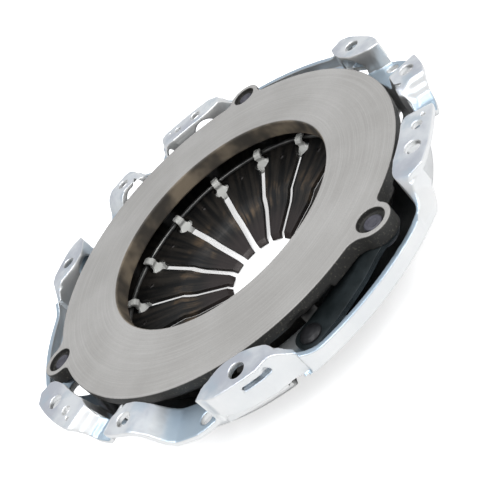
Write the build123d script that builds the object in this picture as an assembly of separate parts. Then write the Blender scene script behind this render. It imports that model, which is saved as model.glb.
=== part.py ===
from build123d import *
import math
import os

os.makedirs("parts", exist_ok=True)

# Frame: origin at the centre of the feet's mounting plane, +Z along the spin axis towards the flywheel.
# Angles run anticlockwise about +Z. Everything repeats three times, at the lug angles.
LUG_ANGLES = (90, 210, 330)

# Main radii: everything else is stepped off the friction face
FACE_R = 122.5
BORE_R = FACE_R - 44.5
LUG_R = FACE_R + 3.5
BOLT_R = FACE_R + 15.0
FLANGE_R = BOLT_R + 8.7
WALL_TOP_R = BOLT_R - 9.9
WALL_FOOT_R = BOLT_R - 14.7
STRAP_R = LUG_R + 1.0
FLOOR_R = FACE_R - 10.5
NOSE_R = FACE_R - 17.5
SPRING_R = NOSE_R + 1.8
FULCRUM_R = FACE_R - 32.5
CONE_R = FULCRUM_R - 14.0
TIP_R = FULCRUM_R - 65.1

# Cover
SHEET = 3.5
FLOOR_Z = -38.0
RIM_Z = -13.5
SLOT_TOP_Z = -4.4
SLOT_LOW_Z = -6.8
SHOULDER_Z = -22.0
LEDGE_Z = -21.6
DEEP_Z = -16.0
BOLT_HOLE_R = 4.5
PILOT_HOLE_R = 4.3
DOWEL_HOLE_R = 3.0
VENT_HOLE_R = 3.8
ARCH_R = 9.5
ACCESS_R = 9.5
BOLT_TURNS = (18.0, 78.0)
PILOT_TURN = 48.0
DOWEL_TURN = 24.8
DEEP_TURN = 61.8
NOTCH_TURN = 36.0

# Friction plate
FACE_Z = -4.1
PLATE_REAR_Z = -16.0
NOSE_Z = -27.4
LUG_BOSS_R = 11.3
LUG_REAR_Z = -13.1
COUNTERBORE_R = 8.0
COUNTERBORE_Z = -7.6

# Diaphragm spring
FINGERS = 15
FINGER_PITCH = 360 / FINGERS
SPRING_T = 2.6
CONE_Z = -35.0
CONE_SLOPE = 0.252
SLOT_W = 4.4
KEY_W = 11.4
KEY_IN_R = FULCRUM_R - 11.2
KEY_OUT_R = FULCRUM_R - 1.2
WIRE_R = 1.5

# Tabs of the cover
TAB_T = 2.4
TAB_W = 5.5
TAB_ROOT_W = 10.0
TAB_R = FULCRUM_R - 5.8

# Straps and rivets
STRAP_TURN = -27.0
STRAP_HALF_W = 8.5
LEAF_T = 0.95
LEAF_PITCH = 1.0
LEAVES = 3
STRAP_END_Z = LEDGE_Z + LEAVES * LEAF_PITCH
SHANK_R = 4.0
RIVET_HEAD_R = 5.2
STRAP_HEAD_R = 6.2
WASHER_R = 8.0
WASHER_T = 1.5

# Clearances
FIT = 0.05
HEAD_ROOM = 0.9


def cone_z(r):
    return CONE_Z + CONE_SLOPE * (r - CONE_R)


def turned(points):
    face = make_face(Plane.XZ * Polyline(*points, close=True))
    return revolve(face, Axis.Z, 360)


def polar(r, angle, z=0.0):
    a = math.radians(angle)
    return (r * math.cos(a), r * math.sin(a), z)


def post(r, angle, radius, z0, z1):
    x, y, _ = polar(r, angle)
    return Pos(x, y, z0) * Cylinder(radius, z1 - z0, align=(Align.CENTER, Align.CENTER, Align.MIN))


def sector_face(r0, r1, a0, a1):
    mid = 0.5 * (a0 + a1)
    outer = ThreePointArc(polar(r1, a0), polar(r1, mid), polar(r1, a1))
    inner = ThreePointArc(polar(r0, a1), polar(r0, mid), polar(r0, a0))
    start = Line(polar(r0, a0), polar(r1, a0))
    end = Line(polar(r1, a1), polar(r0, a1))
    return make_face([outer, end, inner, start])


def sector(r0, r1, a0, a1, z0, z1, corner=0.0):
    face = sector_face(r0, r1, a0, a1)
    if corner:
        outer = face.vertices().sort_by(lambda v: math.hypot(v.X, v.Y))[-2:]
        face = fillet(outer, corner)
    return Pos(0, 0, z0) * extrude(face, z1 - z0, dir=(0, 0, 1))


def radial_prism(points, angle, r0, r1, corner=0.0, corner_z=-99.0):
    # points are (tangential, z) pairs in a plane facing outwards at the given angle
    a = math.radians(angle)
    outwards = (math.cos(a), math.sin(a), 0)
    plane = Plane(origin=polar(r0, angle), x_dir=(-math.sin(a), math.cos(a), 0), z_dir=outwards)
    face = make_face(Polyline(*[(p[0], p[1]) for p in points], close=True))
    if corner:
        low = [v for v in face.vertices() if v.Y < corner_z + 0.01]
        face = fillet(low, corner)
    return extrude(plane * face, r1 - r0)


def sum_of(shapes):
    total = shapes[0]
    for shape in shapes[1:]:
        total = total + shape
    return total


def at_lugs(shape):
    return [Rot(0, 0, angle) * shape for angle in LUG_ANGLES]


def plan_curve(points):
    # points are (radius, turn) pairs
    return Spline(*[polar(r, turn) for r, turn in points])


def column(edges, z0, z1):
    return Pos(0, 0, z0) * extrude(make_face(edges), z1 - z0, dir=(0, 0, 1))


def window_room():
    # plan of one strap window: the sheet's edge leaves the foot in a curve and becomes the rim
    rim = FLANGE_R - SHEET
    foot = WALL_TOP_R
    start = [(foot - 5, -47), (foot - 0.3, -41), (foot + 2.2, -37.8)]
    start += [(foot + 6.2, -35.4), (rim - 4, -33.8), (rim, -31)]
    end = [(rim, 3.6), (rim - 3.8, 7.3), (foot + 6.2, 9.2)]
    end += [(foot + 3.2, 10.6), (foot + 1.4, 12.6), (foot - 5, 19)]
    outer = ThreePointArc(polar(rim, -31), polar(rim, -14), polar(rim, 3.6))
    inner = ThreePointArc(polar(foot - 5, 19), polar(foot - 5, -14), polar(foot - 5, -47))
    return column([plan_curve(start), outer, plan_curve(end), inner], -60, 5)


def lobe_body():
    # outer skin of one bulged window wall, lug at angle zero
    top = -SHEET + 0.01
    profile = [(100, top), (FLANGE_R, top), (FLANGE_R, SHOULDER_Z), (FLOOR_R + 1, FLOOR_Z - SHEET)]
    body = turned(profile + [(100, FLOOR_Z - SHEET)])
    body = body & sector(90, 190, -53.0, 12.2, -60, 5)
    under = [(-30, -60), (-30, -9), (-20, -12), (-7.6, -15), (4.3, -17), (18.6, -18.5), (40, -23), (40, -60)]
    body = body - radial_prism(under, -45, WALL_TOP_R + 5, 190)
    tail = [(-9, -60), (-9, -24), (-3, -22.5), (4, -17), (9, -11), (14, -5), (30, -5), (30, -60)]
    return body - radial_prism(tail, 9, WALL_TOP_R + 5, 190)


def lobe_air():
    rim = FLANGE_R - SHEET
    room = turned([(90, 5), (rim, 5), (rim, SHOULDER_Z + 2), (FLOOR_R, FLOOR_Z), (90, FLOOR_Z)])
    pocket = sector(WALL_TOP_R + SHEET + 0.4, 190, -49.5, -39.0, -60, -SHEET)
    over = [(-40, -5.5), (-20, -8.3), (-7.6, -11.3), (4.3, -13.4), (18.6, -15), (40, -19.5)]
    over += [(40, 9), (-40, 9)]
    pocket = pocket & radial_prism(over, -45, 90, 190)
    return room & (window_room() + pocket)


def dip(points, way):
    # room above a falling edge, drawn as (turn, z) on the rim and cut along the given direction
    arc = FLANGE_R - 0.5 * SHEET
    edge = [(arc * math.sin(math.radians(turn - way)), z) for turn, z in points]
    a = math.radians(way)
    plane = Plane(origin=(0, 0, 0), x_dir=(-math.sin(a), math.cos(a), 0), z_dir=(math.cos(a), math.sin(a), 0))
    low, high = edge[0], edge[-1]
    far = 60 if high[0] < low[0] else -60
    lines = [Line(high, (high[0], 8)), Line((high[0], 8), (low[0] + far, 8))]
    lines += [Line((low[0] + far, 8), (low[0] + far, low[1])), Line((low[0] + far, low[1]), low)]
    return extrude(plane * make_face([Spline(*edge)] + lines), FLANGE_R + 20)


def rim_cuts():
    # the rim dips between the feet, and a slot parts it from the last foot
    r0, r1 = WALL_TOP_R + 0.5, FLANGE_R + 15
    fall = [(-26.0, RIM_Z), (-28.5, -12.4), (-30.6, -9.4), (-32.4, -5.4), (-34.0, -1.9), (-36.0, 0.6)]
    last = dip(fall, -44)
    first = dip([(0, RIM_Z), (4.0, -12.6), (6.6, -10.6), (8.2, -6.0), (9.2, -1.6), (10.4, 0.8)], 14)
    cut = (last & sector(r0, r1, -41, -13, -30, 6)) + (first & sector(r0, r1, -14, 12.3, -30, 6))
    slot = sector(FLANGE_R - SHEET - 0.5, r1, -42.5, -36.3, SLOT_LOW_Z, SLOT_TOP_Z)
    tip = [(-3.2, SLOT_LOW_Z), (1.2, SLOT_LOW_Z - 0.6), (-1.8, -1.6)]
    head = radial_prism(tip, -36.3, FLANGE_R - SHEET - 0.5, r1)
    return cut + slot + head + wall_dent()


def wall_dent():
    # the outer wall draws inwards where it meets the first foot
    rim = FLANGE_R
    edge = [(rim + 3, 13.8), (rim - 2.6, 10.6), (rim - 3.8, 8.4), (rim - 3.2, 5.8), (rim + 3, 1.0)]
    plan = column([plan_curve(edge), Line(polar(*edge[-1]), polar(*edge[0]))], -30, 5)
    draft = turned([(rim - 5, 5), (rim - 5, -4), (rim + 0.5, -20), (rim + 10, -20), (rim + 10, 5)])
    return plan & draft


def valley_form(slope, floor_z, turn, end, grow):
    # room above a pressed valley: one side falls in a curve, the other ends at the next foot's edge
    path = offset_path(slope, -grow) if grow else slope
    low = floor_z - grow
    side = path[:-1] + [(path[-1][0], low)]
    fall = Spline(*side, tangents=[(1, -0.25), (1, 0)])
    right, left = (50, low), (side[0][0], 6)
    lines = [Line(side[-1], right), Line(right, (50, 6)), Line((50, 6), left), Line(left, side[0])]
    a = math.radians(turn)
    outwards = (math.cos(a), math.sin(a), 0)
    plane = Plane(origin=polar(FLOOR_R, turn), x_dir=(-math.sin(a), math.cos(a), 0), z_dir=outwards)
    prism = extrude(plane * make_face([fall] + lines), FLANGE_R + 8 - FLOOR_R)
    shift = math.degrees(grow / BOLT_R)
    edge = [(r, angle + shift) for r, angle in end]
    back = [polar(edge[-1][0], turn - 22), polar(edge[0][0], turn - 22)]
    walls = [Line(polar(*edge[-1]), back[0]), Line(back[0], back[1]), Line(back[1], polar(*edge[0]))]
    return prism & column([plan_curve(edge)] + walls, -30, 5)


# Valleys as (tangential, z) slopes and (radius, turn) edges of the feet that close them
DEEP_SLOPE = [(-28.5, 0.3), (-23.6, -1.3), (-19.6, -4.2), (-16.4, -8.4), (-13.2, -12.8)]
DEEP_SLOPE += [(-9.2, -15.5), (-4, DEEP_Z)]
DEEP_END = [(WALL_TOP_R + 24.4, 65.8), (FLANGE_R, 68.0), (WALL_TOP_R + 13.4, 69.0), (WALL_TOP_R + 8.4, 70.0)]
DEEP_END += [(WALL_TOP_R + 5.9, 71.0), (WALL_TOP_R + 1.9, 73.2), (WALL_TOP_R, 75.6), (WALL_TOP_R - 9.6, 84.0)]
NOTCH_Z = -6.6
NOTCH_SLOPE = [(-17.0, 0.3), (-13.0, -0.6), (-9.5, -2.1), (-6.5, -2.7), (-3.5, -3.0)]
NOTCH_SLOPE += [(-0.5, -4.5), (3.0, -5.2), (6.0, -6.3), (10.5, NOTCH_Z)]
NOTCH_END = [(WALL_TOP_R + 24.4, 41.2), (FLANGE_R, 42.0), (WALL_TOP_R + 9.7, 43.0)]
NOTCH_END += [(WALL_TOP_R + 1.0, 45.5), (WALL_TOP_R - 9.6, 50.0)]


def valleys(grow):
    deep = valley_form(DEEP_SLOPE, DEEP_Z, DEEP_TURN, DEEP_END, grow)
    return deep + valley_form(NOTCH_SLOPE, NOTCH_Z, NOTCH_TURN, NOTCH_END, grow)


def notch_room():
    # the flange is narrow between its first two feet
    foot = WALL_TOP_R
    curve = [(foot - 3, 24.5), (foot + 0.6, 28.0), (foot + 3.2, 31.0), (foot + 5.2, 34.0)]
    curve += [(foot + 6.0, 37.0), (foot + 4.6, 39.8), (foot + 1.4, 41.6), (foot - 3, 43.2)]
    back = Line(polar(*curve[-1]), polar(*curve[0]))
    return column([plan_curve(curve), back], -22, 5)


def foot_shapes():
    # plan of the flange from one strap window to the next, whose curves end it
    foot = WALL_TOP_R
    start = Line(polar(foot, 10.0), polar(foot + 10.6, 6.4))
    nose = Line(polar(foot + 10.6, 6.4), polar(foot + 13.0, 8.6))
    shoulder = Line(polar(foot + 13.0, 8.6), polar(FLANGE_R, 12.6))
    outer = ThreePointArc(polar(FLANGE_R, 12.6), polar(FLANGE_R, 48), polar(FLANGE_R, 87.0))
    end = Line(polar(FLANGE_R, 87.0), polar(foot, 84.5))
    inner = ThreePointArc(polar(foot, 84.5), polar(foot, 48), polar(foot, 10.0))
    shape = column([start, nose, shoulder, outer, end, inner], -60, 5)
    return shape - window_room() - Rot(0, 0, 120) * window_room()


def flange_sector():
    shape = foot_shapes()
    ring = shape & sector(WALL_TOP_R - 5, FLANGE_R + 5, 5, 89, -SHEET, 0)
    deep_ring = shape & sector(WALL_TOP_R - 5, FLANGE_R + 5, 20, 78, -30, 0)
    skin = valleys(SHEET)
    flange = (ring - skin) + (deep_ring & (skin - valleys(0)))
    return flange - notch_room()


def flange_holes():
    holes = []
    for turn in BOLT_TURNS:
        holes.append(post(BOLT_R, turn, BOLT_HOLE_R, -14, 5))
    holes.append(post(BOLT_R, PILOT_TURN, PILOT_HOLE_R, -14, 5))
    holes.append(post(BOLT_R, DOWEL_TURN, DOWEL_HOLE_R, -14, 5))
    holes.append(post(BOLT_R + 3.3, 27.4, 1.4, -14, 5))
    holes.append(post(BOLT_R + 1.2, 65.7, VENT_HOLE_R, -30, 5))
    return holes


def wall_openings():
    # an arch through the inner wall behind each foot, and holes in the floor
    arch = Rot(0, 90, 0) * Cylinder(ARCH_R, 16, align=(Align.CENTER, Align.CENTER, Align.MIN))
    arch = Pos(WALL_FOOT_R - 6, 0, -12.6) * arch
    cuts = [Rot(0, 0, turn - 1.0) * arch for turn in (*BOLT_TURNS, PILOT_TURN + 1.0)]
    cuts.append(notch_room())
    cuts.append(post(LUG_R + 1, 1.0, ACCESS_R, -60, SHOULDER_Z - 1))
    cuts.append(post(FACE_R - 2.5, 61.0, 5.5, -60, -30))
    cuts.append(post(STRAP_R, STRAP_TURN, SHANK_R + FIT, -60, -15))
    return cuts


def tab():
    # a wide root fills the keyhole, and its narrow tip hooks outwards over the fulcrum ring
    top = ring_z() + WIRE_R + FIT + 0.5 * TAB_T
    half = 0.5 * TAB_T
    path = [(TAB_R + half, FLOOR_Z - 1), (TAB_R + half, -31.0), (TAB_R + 0.2, top - 1.9)]
    path += [(TAB_R + 1.2, top - 0.5), (TAB_R + 2.8, top), (FULCRUM_R + 0.6, top)]
    outline = offset_path(path, half) + offset_path(path, -half)[::-1]
    hook = extrude(make_face(Plane.XZ * Polyline(*outline, close=True)), 0.5 * TAB_W, both=True)
    ends = hook.edges().filter_by(Axis.Z).sort_by(Axis.X)[-2:]
    hook = fillet(ends, 0.8)
    w = 0.5 * TAB_ROOT_W
    hexagon = [(-w, FLOOR_Z - 1), (-w, -35.0), (1.8 - w, -33.0)]
    hexagon += [(-x, z) for x, z in hexagon[::-1]]
    root = make_face(Plane.YZ * Polyline(*hexagon, close=True))
    return hook + Pos(TAB_R, 0, 0) * extrude(root, TAB_T, dir=(1, 0, 0))


def offset_path(path, side):
    # points moved sideways by the given distance, mitred at the bends
    out = []
    for i, p in enumerate(path):
        before = path[max(i - 1, 0)]
        after = path[min(i + 1, len(path) - 1)]
        a = unit(p, after) if i == 0 else unit(before, p)
        b = unit(before, p) if i == len(path) - 1 else unit(p, after)
        nx = -(a[1] + b[1])
        nz = a[0] + b[0]
        scale = side * 2 / (nx * nx + nz * nz)
        out.append((p[0] + nx * scale, p[1] + nz * scale))
    return out


def unit(p, q):
    d = math.hypot(q[0] - p[0], q[1] - p[1])
    return ((q[0] - p[0]) / d, (q[1] - p[1]) / d)


def cover():
    skin = turned([(0, 0), (WALL_TOP_R + SHEET, 0), (WALL_TOP_R + SHEET, -SHEET), (WALL_FOOT_R + SHEET, -36),
                   (WALL_FOOT_R - 1.8, FLOOR_Z - SHEET), (0, FLOOR_Z - SHEET)])
    air = turned([(0, 5), (WALL_TOP_R, 5), (WALL_TOP_R, -SHEET), (WALL_FOOT_R, -35),
                  (WALL_FOOT_R - 3.8, FLOOR_Z), (0, FLOOR_Z)])
    ledge = sector(FLOOR_R + 1, 190, -39, -19, -60, LEDGE_Z, 3)
    hollow = sector(FLOOR_R + 4, FLANGE_R - SHEET - 1, -37.5, -20.6, -60, LEDGE_Z - SHEET, 2)
    body = skin + at_lugs(lobe_body())
    for shape in at_lugs(lobe_air()):
        air = air + shape
    air = air - at_lugs(ledge)
    body = body - at_lugs(hollow)
    shell = body - air
    shell = shell - at_lugs(valleys(0) & sector(FLOOR_R, 190, 25, 80, -60, 5))
    wall_r = WALL_TOP_R + SHEET + 1
    wall_room = turned([(90, RIM_Z), (wall_r, RIM_Z), (wall_r, 5), (90, 5)])
    shell = shell - at_lugs(window_room() & wall_room)
    shell = shell + at_lugs(flange_sector())
    shell = shell - at_lugs(rim_cuts())
    bead_r = FULCRUM_R - 2
    shell = shell + revolve(Plane.XZ * Pos(bead_r, FLOOR_Z + 0.05) * Circle(3.0), Axis.Z, 360)
    shell = shell - revolve(Plane.XZ * Pos(bead_r, FLOOR_Z - SHEET - 0.6) * Circle(2.2), Axis.Z, 360)
    shell = shell - Pos(0, 0, -38) * Cylinder(TAB_R, 12)
    hook = tab()
    shell = shell + [Rot(0, 0, 90 + FINGER_PITCH * k) * hook for k in range(FINGERS)]
    for cut in flange_holes() + wall_openings():
        shell = shell - at_lugs(cut)
    return shell


def ring_z():
    return cone_z(FULCRUM_R) + (WIRE_R + FIT) * math.hypot(1, CONE_SLOPE)


def front_fulcrum_ring():
    return Pos(0, 0, ring_z()) * Torus(FULCRUM_R, WIRE_R)


def diaphragm_spring():
    knee = FULCRUM_R - 34.5
    front = [(SPRING_R, cone_z(SPRING_R)), (knee, cone_z(knee)), (knee - 3.2, -42.3), (knee - 7.5, -44.5)]
    front += [(knee - 12.5, -46.0), (TIP_R + 2.8, -50.6), (TIP_R, -53.6)]
    rear = offset_path(front, SPRING_T)
    disc = turned(front + rear[::-1])
    slot_r = 0.5 * (TIP_R + KEY_IN_R)
    slot = Pos(slot_r, 0, -40) * Box(KEY_IN_R - TIP_R + 8, SLOT_W, 60)
    w = 0.5 * KEY_W
    side = [(KEY_IN_R, 3.2), (KEY_IN_R + 2.7, w), (KEY_OUT_R - 2, w), (KEY_OUT_R, w - 1.8)]
    keyhole = make_face(Polyline(*side, *[(x, -y) for x, y in side[::-1]], close=True))
    key = Pos(0, 0, -60) * extrude(keyhole, 50, dir=(0, 0, 1))
    cut = slot + key
    disc = disc - [Rot(0, 0, 90 + FINGER_PITCH * k) * cut for k in range(FINGERS)]
    dimple_r = KEY_IN_R + 2.9
    dimple = post(dimple_r, 0, 1.6, cone_z(dimple_r) - 0.7, -20)
    disc = disc - [Rot(0, 0, 90 + FINGER_PITCH * (k + 0.5)) * dimple for k in range(FINGERS)]
    return disc


def plate_blank():
    face = Circle(FACE_R)
    for angle in LUG_ANGLES:
        boss = Pos(LUG_R, 0) * Circle(LUG_BOSS_R) + Pos(LUG_R - 5, 0) * Rectangle(10, 2 * LUG_BOSS_R)
        face = face + Rot(0, 0, angle) * boss
    blank = Pos(0, 0, LUG_REAR_Z) * extrude(face, FACE_Z - LUG_REAR_Z, dir=(0, 0, 1))
    for side, radius in ((1, 5.0), (-1, 9.0)):
        t = side * LUG_BOSS_R
        r = math.sqrt(FACE_R ** 2 - t * t)
        spots = [Vector(r, t, 0).rotate(Axis.Z, angle) for angle in LUG_ANGLES]
        corner = [e for e in blank.edges().filter_by(Axis.Z)
                  if min(math.hypot(e.center().X - s.X, e.center().Y - s.Y) for s in spots) < 0.3]
        blank = fillet(corner, radius)
    return blank - Cylinder(FACE_R - 7.5, 60)


def pressure_plate():
    rim = FACE_R
    nose = NOSE_R
    profile = [(BORE_R, FACE_Z), (rim, FACE_Z), (rim, -9.8), (rim - 1.2, -11.9), (rim - 5, -12.3)]
    profile += [(nose + 7, -15.6), (nose + 5, PLATE_REAR_Z), (nose + 3.6, -18), (nose + 2.2, NOSE_Z + 1.2)]
    profile += [(nose + 1, NOSE_Z), (nose - 1, NOSE_Z), (nose - 2.2, NOSE_Z + 1.2), (nose - 3.6, -18)]
    profile += [(nose - 5.5, PLATE_REAR_Z), (BORE_R + 1, PLATE_REAR_Z), (BORE_R, PLATE_REAR_Z + 1)]
    body = turned(profile)
    wedge = sector(FACE_R - 12, LUG_R + 2 * LUG_BOSS_R, -16, 13, -20, 0)
    body = body + (plate_blank() & sum_of(at_lugs(wedge)))
    gap = Pos(NOSE_R, 0, NOSE_Z + 2.4) * Box(14, 9, 14)
    body = body - [Rot(0, 0, 90 + FINGER_PITCH * k) * gap for k in range(FINGERS)]
    body = body - at_lugs(post(LUG_R, 0, COUNTERBORE_R, COUNTERBORE_Z, 5))
    body = body - at_lugs(post(LUG_R, 0, SHANK_R + FIT, -30, 5))
    body = body - at_lugs(post(STRAP_R, STRAP_TURN, STRAP_HEAD_R + HEAD_ROOM, -30, -8.6))
    rims = body.edges().filter_by(GeomType.CIRCLE).filter_by(lambda e: abs(e.center().Z - FACE_Z) < 0.01)
    inner = [e for e in rims if abs(e.radius - BORE_R) < 0.1]
    return chamfer(inner, 1.0)


def leaf(index):
    # drawn with the cover rivet at s = 0 and the lug rivet at s = length, width along the plane's normal
    start = Vector(*polar(STRAP_R, STRAP_TURN))
    end = Vector(*polar(LUG_R, 0))
    length = (end - start).length
    drop = index * LEAF_PITCH
    rise = LUG_REAR_Z - STRAP_END_Z
    ends = [(length - 8, LUG_REAR_Z), (length - 22, LUG_REAR_Z - 0.564 * rise)]
    ends += [(length - 34, LUG_REAR_Z - 0.818 * rise), (10, STRAP_END_Z)]
    half = STRAP_HALF_W
    pts = [(p[0], p[1] - drop) for p in ends]
    low = [(p[0], p[1] - LEAF_T) for p in pts]
    top = [Line((length + half, pts[0][1]), pts[0]), Spline(*pts, tangents=[(-1, -0.12), (-1, -0.02)]),
           Line(pts[-1], (-half, pts[-1][1]))]
    bottom = [Line((-half, low[-1][1]), low[-1]), Spline(*low[::-1], tangents=[(1, 0.02), (1, 0.12)]),
              Line(low[0], (length + half, low[0][1]))]
    cover_end = Line((-half, pts[-1][1]), (-half, low[-1][1]))
    lug_end = Line((length + half, low[0][1]), (length + half, pts[0][1]))
    edge = make_face(top + [cover_end] + bottom + [lug_end])
    strip = extrude(Plane.XZ * edge, half, both=True)
    outline = Pos(length / 2, 0) * RectangleRounded(length + 2 * half, 2 * half, half * 0.82)
    strip = strip & (Pos(0, 0, -40) * extrude(outline, 40, dir=(0, 0, 1)))
    for s in (0, length):
        strip = strip - Pos(s, 0, -20) * Cylinder(SHANK_R + FIT, 60)
    along = end - start
    turn = math.degrees(math.atan2(along.Y, along.X))
    return Pos(start.X, start.Y, 0) * Rot(0, 0, turn) * strip


def pack_bottom(top):
    return top - (LEAVES - 1) * LEAF_PITCH - LEAF_T


def lug_rivet():
    bottom = pack_bottom(LUG_REAR_Z) - WASHER_T - 0.02
    shape = [(0, -5.8), (4.6, -5.8), (RIVET_HEAD_R, -6.3), (RIVET_HEAD_R, COUNTERBORE_Z)]
    shape += [(SHANK_R, COUNTERBORE_Z), (SHANK_R, bottom), (6.2, bottom), (6.2, bottom - 1.6)]
    shape += [(4.4, bottom - 2.8), (0, bottom - 2.8)]
    return Pos(LUG_R, 0, 0) * turned(shape)


def lug_washer():
    top = pack_bottom(LUG_REAR_Z) - 0.01
    ring = post(0, 0, WASHER_R, top - WASHER_T, top) - Cylinder(SHANK_R + FIT, 80)
    ring = chamfer(ring.edges().filter_by(GeomType.CIRCLE).sort_by(Axis.Z)[-1:], 0.3)
    return Pos(LUG_R, 0, 0) * ring


def cover_rivet():
    top = STRAP_END_Z
    bottom = LEDGE_Z - SHEET
    shape = [(0, top + 2.9), (2.6, top + 2.7), (4.9, top + 1.9), (STRAP_HEAD_R, top + 0.7)]
    shape += [(STRAP_HEAD_R, top), (SHANK_R, top), (SHANK_R, bottom), (6.0, bottom), (6.0, bottom - 1.5)]
    shape += [(4.2, bottom - 2.6), (0, bottom - 2.6)]
    x, y, _ = polar(STRAP_R, STRAP_TURN)
    return Pos(x, y, 0) * turned(shape)


def save(name, shape):
    solids = shape.solids()
    result = solids[0] if len(solids) == 1 else Compound(solids)
    export_step(result, f"parts/{name}.step")
    box = result.bounding_box()
    print(name, len(solids), round(result.volume), [round(v, 2) for v in (*box.min, *box.max)])


save("cover", cover())
save("pressure_plate", pressure_plate())
save("diaphragm_spring", diaphragm_spring())
save("front_fulcrum_ring", front_fulcrum_ring())
leaves = [leaf(i) for i in range(LEAVES)]
rivet = lug_rivet()
washer = lug_washer()
stud = cover_rivet()
for number, angle in enumerate(LUG_ANGLES, 1):
    for index, strip in enumerate(leaves, 1):
        save(f"strap_{number}_leaf_{index}", Rot(0, 0, angle) * strip)
    save(f"lug_rivet_{number}", Rot(0, 0, angle) * rivet)
    save(f"lug_washer_{number}", Rot(0, 0, angle) * washer)
    save(f"cover_rivet_{number}", Rot(0, 0, angle) * stud)
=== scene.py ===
import bpy
import bmesh
import math
from mathutils import Matrix, Vector


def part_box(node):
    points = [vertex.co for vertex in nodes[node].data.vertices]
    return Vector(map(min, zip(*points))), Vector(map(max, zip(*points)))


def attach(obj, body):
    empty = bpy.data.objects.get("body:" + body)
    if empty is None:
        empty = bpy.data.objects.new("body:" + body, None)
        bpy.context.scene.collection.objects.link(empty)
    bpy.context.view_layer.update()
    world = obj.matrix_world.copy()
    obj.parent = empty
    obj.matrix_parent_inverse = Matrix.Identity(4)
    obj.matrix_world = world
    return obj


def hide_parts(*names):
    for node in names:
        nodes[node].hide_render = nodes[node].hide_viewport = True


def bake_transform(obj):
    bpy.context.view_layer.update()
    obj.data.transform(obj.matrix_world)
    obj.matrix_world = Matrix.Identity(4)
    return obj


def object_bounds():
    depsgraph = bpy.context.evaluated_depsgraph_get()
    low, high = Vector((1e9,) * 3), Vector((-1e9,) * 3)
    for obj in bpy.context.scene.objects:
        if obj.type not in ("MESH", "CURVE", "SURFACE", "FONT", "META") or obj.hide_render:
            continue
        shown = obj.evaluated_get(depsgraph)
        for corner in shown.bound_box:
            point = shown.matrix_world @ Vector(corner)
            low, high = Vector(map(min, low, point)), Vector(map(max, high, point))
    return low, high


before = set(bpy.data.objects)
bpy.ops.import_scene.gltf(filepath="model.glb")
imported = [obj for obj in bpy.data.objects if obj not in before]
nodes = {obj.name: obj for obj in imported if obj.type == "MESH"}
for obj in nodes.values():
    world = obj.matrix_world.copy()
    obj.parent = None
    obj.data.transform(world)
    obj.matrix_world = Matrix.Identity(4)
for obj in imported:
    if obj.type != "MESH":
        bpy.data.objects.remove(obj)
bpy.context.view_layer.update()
MM = 0.001

# Radii and levels in millimetres; turns in degrees, anticlockwise from a lug
LUG_ANGLES = (90, 210, 330)
FINGERS = 15
FULCRUM_R = 90.0
NOSE_R = 105.0
TIP_R = 24.9
WIRE_SIDES = 20
WIRE_STEPS = FINGERS * 16

# The notch between the first two feet in the CAD: (along the tangent at NOTCH_TURN, z) of its shallow floor
# and (radius, turn) of the second foot's edge
NOTCH_TURN = 36.0
CAD_SHEET = 3.5
CAD_NOTCH_Z = -6.6
CAD_NOTCH = [(-17.0, 0), (-13.0, -0.6), (-9.5, -2.1), (-6.5, -2.7), (-3.5, -3.0), (-0.5, -4.5), (3.0, -5.2),
             (6.0, -6.3), (10.5, CAD_NOTCH_Z)]
CAD_FOOT = [(118.0, 50.0), (128.6, 45.5), (137.3, 43.0), (146.2, 42.0), (152.0, 41.2)]
# The real notch, as (turn, z): its walls fall in pleats at the outer edge, in a round sweep at the inner one
NOTCH_OUTER = [(28.8, 0), (30.0, -0.5), (30.8, -2.0), (31.5, -5.4), (32.1, -6.3), (32.8, -9.8), (33.5, -10.6),
               (34.4, -12.6), (36.0, -13.0), (38.6, -12.8), (39.6, -11.6), (40.4, -10.4), (41.0, -9.6),
               (41.6, -6.2), (42.1, -5.4), (42.7, -2.0), (43.4, -0.5), (44.6, 0)]
NOTCH_INNER = [(28.8, 0), (30.2, -0.8), (31.4, -3.4), (32.4, -7.4), (33.5, -10.6), (35.0, -12.6),
               (36.5, -13.0), (38.2, -12.0), (39.3, -9.5), (40.5, -6.5), (42.0, -4.0), (43.5, -2.2),
               (45.0, -1.0), (47.0, -0.3), (48.5, 0)]
# How far the outline and the inner edge are drawn in towards the axis, as (turn, distance)
OUTLINE_IN = [(29.0, 0), (30.4, 0.8), (31.5, 2.6), (33.0, 3.7), (41.0, 3.7), (42.0, 3.0), (43.0, 1.6),
              (44.8, 0.3), (46.5, 0), (63.5, 0), (66.5, 2.0), (68.4, 4.4), (69.4, 3.4), (70.6, 1.5),
              (72.4, 0.3), (74.0, 0), (82.0, 0), (84.0, 1.6), (85.5, 3.0), (88.0, 3.0)]
INNER_IN = [(32.0, 0), (33.5, 1.6), (35.5, 4.0), (38.0, 4.0), (40.2, 1.0), (41.5, 0)]
# The pressing works outside this radius, above this level and between these turns
FLANGE_IN_R = 123.5
FLANGE_LOW_Z = -21.0
NOTCH_START = 28.8
NOTCH_END = 49.0
LAST_TURN = 89.0
# Radii between which the inner wall gives way to the outer one
PLEAT_R = (129.0, 138.0)
OUTLINE_R = (128.0, 143.0)
# Pressing thins the sheet and all but flattens the rim under the notch
THIN_SHEET = 0.86
THIN_RIM = 0.10
# Cell of the meshes whose edges are rounded all over
CELL = 0.5


# ---------------------------------------------------------------- shader helpers

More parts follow.
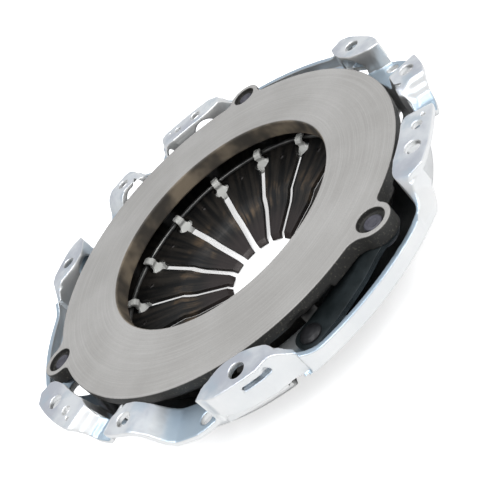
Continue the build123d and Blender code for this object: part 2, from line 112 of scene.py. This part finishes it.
class Graph:
    # a material and short calls for its shader nodes
    def __init__(self, name):
        self.mat = bpy.data.materials.new(name)
        self.mat.use_nodes = True
        self.tree = self.mat.node_tree
        self.bsdf = self.tree.nodes["Principled BSDF"]

    def add(self, kind, **values):
        node = self.tree.nodes.new(kind)
        for key, value in values.items():
            setattr(node, key, value)
        return node

    def put(self, socket, value):
        if isinstance(value, bpy.types.NodeSocket):
            self.tree.links.new(value, socket)
        else:
            socket.default_value = value

    def math(self, op, a, b=0.0, c=0.0):
        node = self.add("ShaderNodeMath", operation=op)
        for i, value in enumerate((a, b, c)):
            self.put(node.inputs[i], value)
        return node.outputs[0]

    def step(self, value, low, high):
        node = self.add("ShaderNodeMapRange", interpolation_type="SMOOTHSTEP")
        self.put(node.inputs["Value"], value)
        node.inputs["From Min"].default_value = low
        node.inputs["From Max"].default_value = high
        return node.outputs["Result"]

    def position(self):
        coord = self.add("ShaderNodeTexCoord")
        split = self.add("ShaderNodeSeparateXYZ")
        self.tree.links.new(coord.outputs["Object"], split.inputs[0])
        return coord.outputs["Object"], split.outputs[0], split.outputs[1], split.outputs[2]

    def radius(self, x, y):
        return self.math("SQRT", self.math("ADD", self.math("MULTIPLY", x, x), self.math("MULTIPLY", y, y)))

    def noise(self, vector, scale, detail=4.0, rough=0.55):
        node = self.add("ShaderNodeTexNoise")
        self.put(node.inputs["Vector"], vector)
        node.inputs["Scale"].default_value = scale
        node.inputs["Detail"].default_value = detail
        node.inputs["Roughness"].default_value = rough
        return node.outputs["Fac"]

    def mix(self, factor, a, b):
        node = self.add("ShaderNodeMix", data_type="RGBA")
        self.put(node.inputs[0], factor)
        self.put(node.inputs[6], a if isinstance(a, bpy.types.NodeSocket) else (*a, 1))
        self.put(node.inputs[7], b if isinstance(b, bpy.types.NodeSocket) else (*b, 1))
        return node.outputs[2]

    def normal_up(self):
        coord = self.add("ShaderNodeTexCoord")
        split = self.add("ShaderNodeSeparateXYZ")
        self.tree.links.new(coord.outputs["Normal"], split.inputs[0])
        return split.outputs[2]

    def polar_noise(self, x, y, r, along, around, detail=3.0):
        # noise drawn out along circles or along radii
        node = self.add("ShaderNodeTexNoise", noise_dimensions="3D")
        pair = self.add("ShaderNodeCombineXYZ")
        self.put(pair.inputs[0], self.math("MULTIPLY", r, along))
        self.put(pair.inputs[1], self.math("MULTIPLY", self.math("DIVIDE", x, r), around))
        self.put(pair.inputs[2], self.math("MULTIPLY", self.math("DIVIDE", y, r), around))
        self.put(node.inputs["Vector"], pair.outputs[0])
        node.inputs["Scale"].default_value = 1.0
        node.inputs["Detail"].default_value = detail
        return node.outputs["Fac"]

    def bump(self, height, strength, distance, normal=None):
        node = self.add("ShaderNodeBump")
        node.inputs["Strength"].default_value = strength
        node.inputs["Distance"].default_value = distance
        self.put(node.inputs["Height"], height)
        if normal is not None:
            self.put(node.inputs["Normal"], normal)
        return node.outputs["Normal"]

    def finish(self, color, roughness, normal=None, metallic=0.0):
        self.put(self.bsdf.inputs["Base Color"], color)
        self.put(self.bsdf.inputs["Roughness"], roughness)
        self.put(self.bsdf.inputs["Metallic"], metallic)
        if normal is not None:
            self.put(self.bsdf.inputs["Normal"], normal)
        return self.mat


def zinc():
    # bright zinc: lilac on the feet, with light and shade painted in: white outer walls (painted light),
    # darker blue valleys (painted shade), near black inside the plate's edge (painted shadow), near white
    # tabs (partly painted light) with painted shade on their necks
    g = Graph("zinc_plate")
    p, x, y, z = g.position()
    r = g.radius(x, y)
    up = g.step(g.normal_up(), 0.35, 0.85)
    cloud = g.noise(p, 26.0, 5)
    wash = g.noise(p, 70.0, 3)
    fine = g.noise(p, 420.0, 3)
    # painted light: side-facing walls of the zinc are whiter than the feet's tops, standing for the floor's
    # light reflected onto them
    lit_wall = g.mix(g.step(cloud, 0.35, 0.68), (0.72, 0.73, 0.73), (0.80, 0.80, 0.79))
    pad = g.mix(g.step(cloud, 0.40, 0.62), (0.56, 0.58, 0.63), (0.84, 0.86, 0.87))
    pad = g.mix(g.math("MULTIPLY", g.step(wash, 0.50, 0.72), 0.6), pad, (0.50, 0.59, 0.66))
    base = g.mix(up, lit_wall, pad)
    # painted shade: the up-facing floors sunk into the valleys between the feet are made darker and bluer
    low = g.math("MULTIPLY", g.step(z, -0.0015, -0.012), g.step(r, 0.1235, 0.1265))
    base = g.mix(g.math("MULTIPLY", g.math("MULTIPLY", low, up), 0.8), base, (0.38, 0.49, 0.58))
    # painted shadow: the zinc dish inside and below the plate's edge is painted near black
    shadowed_inside = g.math("MULTIPLY", g.step(r, 0.1235, 0.1195), g.step(z, -0.020, -0.026))
    base = g.mix(g.math("MULTIPLY", shadowed_inside, 0.85), base, (0.055, 0.058, 0.058))
    # partly painted light: the tabs' own pale zinc is pushed near white to make up for the little light that
    # reaches them
    tabs = g.math("MULTIPLY", g.step(r, 0.0935, 0.0925), g.step(r, 0.0825, 0.0835))
    base = g.mix(tabs, base, (0.97, 0.97, 0.92))
    # painted shade: the tabs' necks, under their hooked tips, are darkened
    neck_shade = g.math("MULTIPLY", g.step(z, -0.0325, -0.0305), g.step(z, -0.0262, -0.0280))
    base = g.mix(g.math("MULTIPLY", g.math("MULTIPLY", tabs, neck_shade), 0.6), base, (0.30, 0.30, 0.28))
    rough = g.math("ADD", 0.30, g.math("MULTIPLY", cloud, 0.16))
    normal = g.bump(fine, 0.08, 0.0002, g.bump(wash, 0.22, 0.0010))
    return g.finish(base, rough, normal, g.math("SUBTRACT", 0.8, g.math("MULTIPLY", tabs, 0.8)))


def casting():
    # turned friction face, dark cast sides with tan grains, brown bore
    g = Graph("cast_plate")
    p, x, y, z = g.position()
    r = g.radius(x, y)
    cloud = g.noise(p, 18.0, 4)
    grain = g.noise(p, 900.0, 2)
    speckle = g.noise(p, 2300.0, 2)
    face = g.step(z, -0.0046, -0.00415)
    rings = g.polar_noise(x, y, r, 1500.0, 1.6)
    top = g.mix(g.step(cloud, 0.3, 0.7), (0.335, 0.322, 0.304), (0.412, 0.399, 0.381))
    top = g.mix(g.math("MULTIPLY", g.step(rings, 0.40, 0.75), 0.35), top, (0.525, 0.515, 0.495))
    top = g.mix(g.math("MULTIPLY", g.step(speckle, 0.50, 0.68), 0.28), top, (0.23, 0.225, 0.215))
    speck = g.step(grain, 0.56, 0.74)
    side = g.mix(speck, (0.020, 0.019, 0.017), (0.085, 0.078, 0.062))
    bore = g.step(r, 0.0800, 0.0790)
    patina = g.noise(p, 34.0, 3)
    brown = g.mix(g.step(patina, 0.40, 0.66), (0.040, 0.034, 0.027), (0.200, 0.160, 0.112))
    side = g.mix(bore, side, brown)
    color = g.mix(face, side, top)
    rough = g.math("ADD", g.math("MULTIPLY", face, -0.14), 0.64)
    rugged = g.math("MULTIPLY", g.math("SUBTRACT", 1.0, face), grain)
    height = g.math("ADD", rugged, g.math("MULTIPLY", face, rings))
    normal = g.bump(height, 0.16, 0.0003)
    return g.finish(color, rough, normal, g.math("MULTIPLY", face, 0.22))


def spring_black():
    # blackened spring steel with radial smears and patchy brown tempering
    g = Graph("spring_steel")
    p, x, y, z = g.position()
    r = g.radius(x, y)
    cloud = g.noise(p, 48.0, 4)
    fine = g.noise(p, 1100.0, 3)
    streak = g.polar_noise(x, y, r, 26.0, 22.0, 4.0)
    patch = g.math("MULTIPLY", g.step(cloud, 0.48, 0.66), g.step(streak, 0.42, 0.62))
    knee = g.math("MULTIPLY", g.step(r, 0.040, 0.052), g.step(r, 0.072, 0.058))
    inner = g.step(r, 0.050, 0.036)
    base = g.mix(g.step(streak, 0.38, 0.66), (0.007, 0.007, 0.007), (0.030, 0.026, 0.022))
    base = g.mix(g.math("MULTIPLY", inner, 0.7), base, (0.040, 0.030, 0.028))
    base = g.mix(g.math("MULTIPLY", knee, patch), base, (0.120, 0.082, 0.050))
    dimple = g.math("MULTIPLY", g.step(r, 0.0795, 0.0800), g.step(r, 0.0838, 0.0833))
    flat = g.step(g.normal_up(), 0.99, 0.999)
    base = g.mix(g.math("MULTIPLY", dimple, flat), base, (0.14, 0.13, 0.13))
    rough = g.math("ADD", 0.30, g.math("MULTIPLY", fine, 0.22))
    normal = g.bump(fine, 0.10, 0.0002, g.bump(cloud, 0.25, 0.0008))
    return g.finish(base, rough, normal, 0.30)


def plain(name, dark, light, rough, metallic, scale=80.0):
    # clouded metal between two tones
    g = Graph(name)
    p, x, y, z = g.position()
    cloud = g.noise(p, scale, 5)
    fine = g.noise(p, scale * 12, 3)
    base = g.mix(g.step(cloud, 0.3, 0.7), dark, light)
    normal = g.bump(fine, 0.15, 0.0002)
    return g.finish(base, g.math("ADD", rough, g.math("MULTIPLY", cloud, 0.15)), normal, metallic)


ZINC = zinc()
CAST = casting()
SPRING = spring_black()
WIRE = plain("fulcrum_wire", (0.10, 0.10, 0.10), (0.24, 0.24, 0.23), 0.26, 0.8)
STRAP = plain("strap_blue_black", (0.009, 0.013, 0.014), (0.028, 0.036, 0.039), 0.30, 0.4, 55.0)
RIVET = plain("rivet_dull", (0.060, 0.058, 0.072), (0.105, 0.102, 0.122), 0.42, 0.5, 160.0)
# painted shade: the cover rivets' zinc heads are made near black, like the deep shade they sit in
STUD = plain("rivet_shaded_black", (0.008, 0.008, 0.009), (0.020, 0.020, 0.022), 0.34, 0.4, 160.0)
WASHER = plain("washer_dark", (0.05, 0.05, 0.055), (0.10, 0.10, 0.105), 0.42, 0.6, 160.0)


def dress(obj, material):
    obj.data.materials.clear()
    obj.data.materials.append(material)


def soften(obj, cell, rounds):
    # rounds every edge as pressing or casting would
    remesh = obj.modifiers.new("cells", "REMESH")
    remesh.mode = "VOXEL"
    remesh.voxel_size = cell * MM
    remesh.use_smooth_shade = True
    smooth = obj.modifiers.new("round", "SMOOTH")
    smooth.factor = 0.5
    smooth.iterations = rounds


# ---------------------------------------------------------------- mesh helpers

def linked(name, mesh, material):
    obj = bpy.data.objects.new(name, mesh)
    bpy.context.scene.collection.objects.link(obj)
    dress(obj, material)
    return obj


def from_bmesh(name, bm, material, sharp=50):
    mesh = bpy.data.meshes.new(name)
    bm.to_mesh(mesh)
    mesh.shade_smooth()
    mesh.set_sharp_from_angle(angle=math.radians(sharp))
    return linked(name, mesh, material)


def rounded_copy(node, width, angle=25):
    # the node's own form with its edges rounded
    bm = bmesh.new()
    bm.from_mesh(nodes[node].data)
    bmesh.ops.remove_doubles(bm, verts=bm.verts, dist=0.002 * MM)
    bmesh.ops.dissolve_limit(bm, angle_limit=math.radians(0.6), verts=bm.verts, edges=bm.edges)
    sharp = [e for e in bm.edges if len(e.link_faces) == 2 and e.calc_face_angle(0) > math.radians(angle)]
    bmesh.ops.bevel(bm, geom=sharp, offset=width * MM, segments=2, profile=0.5, affect="EDGES",
                    clamp_overlap=True)
    bmesh.ops.triangulate(bm, faces=bm.faces)
    return bm


def turned(name, profile, material, center, segments=96, sharp=40):
    # a solid of revolution about +Z; profile runs from the axis at the top to the axis below
    bm = bmesh.new()
    rings = []
    for r, z in profile:
        count = 1 if r == 0 else segments
        ring = []
        for i in range(count):
            a = 2 * math.pi * i / segments
            spot = (center[0] + r * MM * math.cos(a), center[1] + r * MM * math.sin(a), z * MM)
            ring.append(bm.verts.new(spot))
        rings.append(ring)
    for low, high in zip(rings, rings[1:]):
        for i in range(segments):
            j = (i + 1) % segments
            corners = [low[i % len(low)], low[j % len(low)], high[j % len(high)], high[i % len(high)]]
            unique = list(dict.fromkeys(corners))
            if len(unique) > 2:
                bm.faces.new(unique)
    bmesh.ops.recalc_face_normals(bm, faces=bm.faces)
    return from_bmesh(name, bm, material, sharp)


def rounded(points, radius, steps=4):
    # a profile whose inner corners are rounded by short arcs
    out = [points[0]]
    for before, here, after in zip(points, points[1:], points[2:]):
        a = Vector(before) - Vector(here)
        b = Vector(after) - Vector(here)
        cut = min(radius, 0.45 * a.length, 0.45 * b.length)
        start = Vector(here) + a.normalized() * cut
        end = Vector(here) + b.normalized() * cut
        for i in range(steps + 1):
            t = i / steps
            spot = start * (1 - t) ** 2 + Vector(here) * 2 * t * (1 - t) + end * t ** 2
            out.append((spot.x, spot.y))
    out.append(points[-1])
    return out


def middle(node):
    # centre of a node's box
    low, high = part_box(node)
    return [(low[i] + high[i]) / 2 for i in range(3)]


def along_line(points, value):
    # the line through the points at a value, level before the first and after the last
    if value <= points[0][0]:
        return points[0][1]
    for (a, low), (b, high) in zip(points, points[1:]):
        if value <= b:
            return low + (high - low) * (value - a) / (b - a)
    return points[-1][1]


def smoothstep(low, high, value):
    t = min(1.0, max(0.0, (value - low) / (high - low)))
    return t * t * (3 - 2 * t)


# ---------------------------------------------------------------- pieces

def notch_depth(r, turn, z):
    # how deep a point of the CAD flange lies in its sheet, and how far it lies past the second foot's edge
    past = math.radians(turn - along_line(CAD_FOOT, r)) * r
    if past < 0:
        along = r * math.sin(math.radians(turn - NOTCH_TURN))
        return max(0.0, along_line(CAD_NOTCH, along) - z), past
    if z > CAD_NOTCH_Z:
        depth = min(past, -z)
    else:
        depth = math.hypot(past, z - CAD_NOTCH_Z)
    share = smoothstep(CAD_SHEET, 10, past)
    return depth + (-z - depth) * share, past


def pressed(x, y, z):
    # the flange's own pressing: the deep notch between the first two feet and the rounded corners
    r = math.hypot(x, y)
    if r < FLANGE_IN_R or z < FLANGE_LOW_Z:
        return x, y, z
    turn = (math.degrees(math.atan2(y, x)) - LUG_ANGLES[0]) % 120
    if turn < NOTCH_START or turn > LAST_TURN:
        return x, y, z
    weight = smoothstep(FLANGE_IN_R, FLANGE_IN_R + 2, r)
    level = z
    if turn < NOTCH_END:
        depth, past = notch_depth(r, turn, z)
        outer = smoothstep(*PLEAT_R, r)
        floor_z = along_line(NOTCH_INNER, turn) * (1 - outer) + along_line(NOTCH_OUTER, turn) * outer
        thin = smoothstep(NOTCH_START, NOTCH_START + 2.2, turn) * (1 - smoothstep(-2, 4, past))
        kept = THIN_SHEET * min(depth, CAD_SHEET) + THIN_RIM * max(0.0, depth - CAD_SHEET)
        level = floor_z - depth - (kept - depth) * thin
    if turn > 41 and r < 134:
        # the inner wall under the second foot stays where it is
        weight *= 1 - smoothstep(10.3, 15.0, -z)
    out_share = smoothstep(*OUTLINE_R, r)
    inward = along_line(OUTLINE_IN, turn) * out_share + along_line(INNER_IN, turn) * (1 - out_share)
    share = 1 - inward * weight / r
    return x * share, y * share, z + (level - z) * weight


def cover():
    # the CAD cover with its flange pressed further and every edge rounded as the press leaves it
    node = nodes["cover"]
    soften(node, CELL, 1)
    graph = bpy.context.evaluated_depsgraph_get()
    mesh = bpy.data.meshes.new_from_object(node.evaluated_get(graph))
    node.modifiers.clear()
    for vertex in mesh.vertices:
        x, y, z = vertex.co
        vertex.co = Vector(pressed(x / MM, y / MM, z / MM)) * MM
    piece = linked("cover_pressed", mesh, ZINC)
    soften(piece, CELL, 4)
    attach(piece, "cover")
    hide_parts("cover")


def plate():
    # the CAD casting with its edges rounded
    dress(nodes["pressure_plate"], CAST)
    soften(nodes["pressure_plate"], CELL, 2)


def diaphragm():
    # each finger and each length of the rim cut out as a piece of its own along its line out from the axis,
    # with rows of edges across it
    whole = rounded_copy("diaphragm_spring", 0.28)
    fulcrum = FULCRUM_R * MM
    for k in range(FINGERS):
        turn = math.radians(LUG_ANGLES[0] + 360 / FINGERS * (k + 0.5))
        out = Vector((math.cos(turn), math.sin(turn), 0))
        for part, reach, ends, body in (("finger", -1, (fulcrum, TIP_R * MM), "diaphragm"),
                                        ("rim", 1, (fulcrum, NOSE_R * MM), "plate")):
            bm = whole.copy()
            for side in (-1, 1):
                edge = turn + side * math.pi / FINGERS
                normal = Vector((-math.sin(edge), math.cos(edge), 0)) * side
                trim(bm, (0, 0, 0), normal)
            trim(bm, out * fulcrum, -out * reach)
            for share in (0.15, 0.3, 0.45, 0.6, 0.75, 0.9):
                slice_at(bm, out * (ends[0] + share * (ends[1] - ends[0])), out)
            piece = from_bmesh(f"spring_{part}_{k + 1}", bm, SPRING)
            bm.free()
            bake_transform(piece)
            if k == 0 and part == "finger":
                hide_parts("diaphragm_spring")
    whole.free()


def trim(bm, place, normal):
    # cuts away what lies past a plane
    geometry = bm.verts[:] + bm.edges[:] + bm.faces[:]
    bmesh.ops.bisect_plane(bm, geom=geometry, dist=1e-7, plane_co=place, plane_no=normal, clear_outer=True)


def slice_at(bm, place, normal):
    # a row of edges across a piece, where it could bend
    geometry = bm.verts[:] + bm.edges[:] + bm.faces[:]
    bmesh.ops.bisect_plane(bm, geom=geometry, dist=1e-7, plane_co=place, plane_no=normal)


def straps():
    # each leaf, which runs between the cover's rivet and the lug's, copied with its edges rounded
    for number in (1, 2, 3):
        fixed = Vector(middle(f"cover_rivet_{number}"))
        moving = Vector(middle(f"lug_rivet_{number}"))
        fixed.z = moving.z = 0
        for index in (1, 2, 3):
            node = f"strap_{number}_leaf_{index}"
            bm = rounded_copy(node, 0.16, 35)
            piece = from_bmesh(f"strap_{number}_{index}", bm, STRAP)
            bm.free()
            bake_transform(piece)
            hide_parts(node)


def fulcrum_wire():
    # a round wire bent into a ring under the tabs' hooks
    low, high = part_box("front_fulcrum_ring")
    level = (low[2] + high[2]) / 2 / MM
    section = (high[2] - low[2]) / 2 / MM
    bm = bmesh.new()
    rings = []
    for i in range(WIRE_STEPS):
        a = 2 * math.pi * i / WIRE_STEPS
        ring = []
        for j in range(WIRE_SIDES):
            b = 2 * math.pi * j / WIRE_SIDES
            r = (FULCRUM_R + section * math.cos(b)) * MM
            spot = (r * math.cos(a), r * math.sin(a), (level + section * math.sin(b)) * MM)
            ring.append(bm.verts.new(spot))
        rings.append(ring)
    for one, two in zip(rings, rings[1:] + rings[:1]):
        for j in range(WIRE_SIDES):
            n = (j + 1) % WIRE_SIDES
            bm.faces.new((one[j], two[j], two[n], one[n]))
    bmesh.ops.recalc_face_normals(bm, faces=bm.faces)
    wire = from_bmesh("fulcrum_wire", bm, WIRE, 80)
    bm.free()
    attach(wire, "cover")
    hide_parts("front_fulcrum_ring")


def rivets():
    # turned rivets at both ends of the straps, and the washers behind the lugs
    for number in (1, 2, 3):
        kinds = (("lug_rivet", RIVET, "plate", lug_head), ("cover_rivet", STUD, "cover", cover_head))
        for name, material, body, shape in kinds:
            node = f"{name}_{number}"
            low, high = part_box(node)
            profile = rounded(shape(low[2] / MM, high[2] / MM), 0.5)
            piece = turned(f"{name}_turned_{number}", profile, material, middle(node))
            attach(piece, body)
            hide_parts(node)
        node = f"lug_washer_{number}"
        bm = rounded_copy(node, 0.2, 35)
        piece = from_bmesh(f"washer_{number}", bm, WASHER)
        bm.free()
        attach(piece, "plate")
        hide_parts(node)


def lug_head(low, high):
    # flat head with a faint ring pressed in it, shank and closed end
    head = 5.2
    top = [(0, high - 0.1), (2.6, high - 0.1), (2.9, high - 0.35), (3.4, high - 0.1)]
    rim = [(4.4, high - 0.05), (head, high - 0.7), (head, high - 1.8), (4, high - 1.8)]
    return top + rim + [(4, low + 2.8), (6.2, low + 2.8), (6.2, low + 1.3), (4.2, low), (0, low)]


def cover_head(low, high):
    # domed head on the strap, closed end under the ledge
    head = 6.2
    dome = [(0, high), (2.4, high - 0.15), (4.6, high - 0.85), (6.0, high - 2.1)]
    return dome + [(head, high - 2.9), (4, high - 2.9), (4, low + 2.6), (6.0, low + 2.6),
                   (6.0, low + 1.2), (4.0, low), (0, low)]


# ---------------------------------------------------------------- floor, light, camera

def floor_material():
    # pale and dull; brighter to the camera alone, so that the ground shows white but keeps the shadow
    g = Graph("floor_pale")
    path = g.add("ShaderNodeLightPath")
    seen = path.outputs["Is Camera Ray"]
    glow = g.add("ShaderNodeEmission")
    glow.inputs["Color"].default_value = (1, 1, 1, 1)
    g.bsdf.inputs["Base Color"].default_value = (0.86, 0.86, 0.86, 1)
    g.bsdf.inputs["Roughness"].default_value = 0.9
    glow.inputs["Strength"].default_value = 0.62
    both = g.add("ShaderNodeAddShader")
    g.tree.links.new(g.bsdf.outputs[0], both.inputs[0])
    g.tree.links.new(glow.outputs[0], both.inputs[1])
    mixer = g.add("ShaderNodeMixShader")
    g.tree.links.new(seen, mixer.inputs[0])
    g.tree.links.new(g.bsdf.outputs[0], mixer.inputs[1])
    g.tree.links.new(both.outputs[0], mixer.inputs[2])
    out = [n for n in g.tree.nodes if n.type == "OUTPUT_MATERIAL"][0]
    g.tree.links.new(mixer.outputs[0], out.inputs["Surface"])
    return g.mat


def ground():
    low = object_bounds()[0][2]
    mesh = bpy.data.meshes.new("floor")
    half = 40.0
    corners = [(-half, -half, low), (half, -half, low), (half, half, low), (-half, half, low)]
    mesh.from_pydata(corners, [], [(0, 1, 2, 3)])
    floor = bpy.data.objects.new("floor", mesh)
    bpy.context.scene.collection.objects.link(floor)
    mesh.materials.append(floor_material())


def sky():
    # soft studio dome, white at the horizon and a little blue overhead
    world = bpy.data.worlds.new("studio")
    bpy.context.scene.world = world
    world.use_nodes = True
    tree = world.node_tree
    back = tree.nodes["Background"]
    coord = tree.nodes.new("ShaderNodeTexCoord")
    split = tree.nodes.new("ShaderNodeSeparateXYZ")
    ramp = tree.nodes.new("ShaderNodeMapRange")
    shade = tree.nodes.new("ShaderNodeMix")
    shade.data_type = "RGBA"
    ramp.inputs["From Min"].default_value = 0.15
    ramp.inputs["From Max"].default_value = 0.9
    shade.inputs[6].default_value = (1.0, 1.0, 1.0, 1)
    shade.inputs[7].default_value = (0.66, 0.70, 0.76, 1)
    tree.links.new(coord.outputs["Generated"], split.inputs[0])
    tree.links.new(split.outputs[2], ramp.inputs["Value"])
    tree.links.new(ramp.outputs["Result"], shade.inputs[0])
    tree.links.new(shade.outputs[2], back.inputs["Color"])
    back.inputs["Strength"].default_value = 0.80


def lamp(name, place, size, power):
    # a disc of light aimed at the origin
    data = bpy.data.lights.new(name, "AREA")
    data.shape = "DISK"
    data.size = size
    data.energy = power
    obj = bpy.data.objects.new(name, data)
    obj.location = place
    way = -Vector(place)
    obj.rotation_euler = way.to_track_quat("-Z", "Y").to_euler()
    bpy.context.scene.collection.objects.link(obj)


def camera():
    # the photograph's view: directions to the right, down and forward, then the place and the lens
    right = Vector((-0.50676276, 0.60439562, -0.61473363))
    down = Vector((0.78150347, 0.02104971, -0.6235457))
    ahead = Vector((-0.36392833, -0.7964062, -0.48300449))
    place = (0.19088, 0.42197, 0.22942)
    data = bpy.data.cameras.new("view")
    data.sensor_width = 36
    data.lens = 66.25
    data.clip_start = 0.01
    obj = bpy.data.objects.new("view", data)
    turn = Matrix((right, -down, -ahead)).transposed()
    obj.matrix_world = Matrix.Translation(place) @ turn.to_4x4()
    bpy.context.scene.collection.objects.link(obj)
    bpy.context.scene.camera = obj


cover()
plate()
diaphragm()
straps()
fulcrum_wire()
rivets()
ground()
sky()
lamp("key", (0.55, 0.45, 1.05), 0.8, 6.5)
lamp("top", (0.02, 0.25, 1.4), 0.5, 4)
lamp("fill", (-0.5, 0.95, 0.8), 0.6, 5)
camera()
bpy.context.scene.view_settings.view_transform = "Standard"
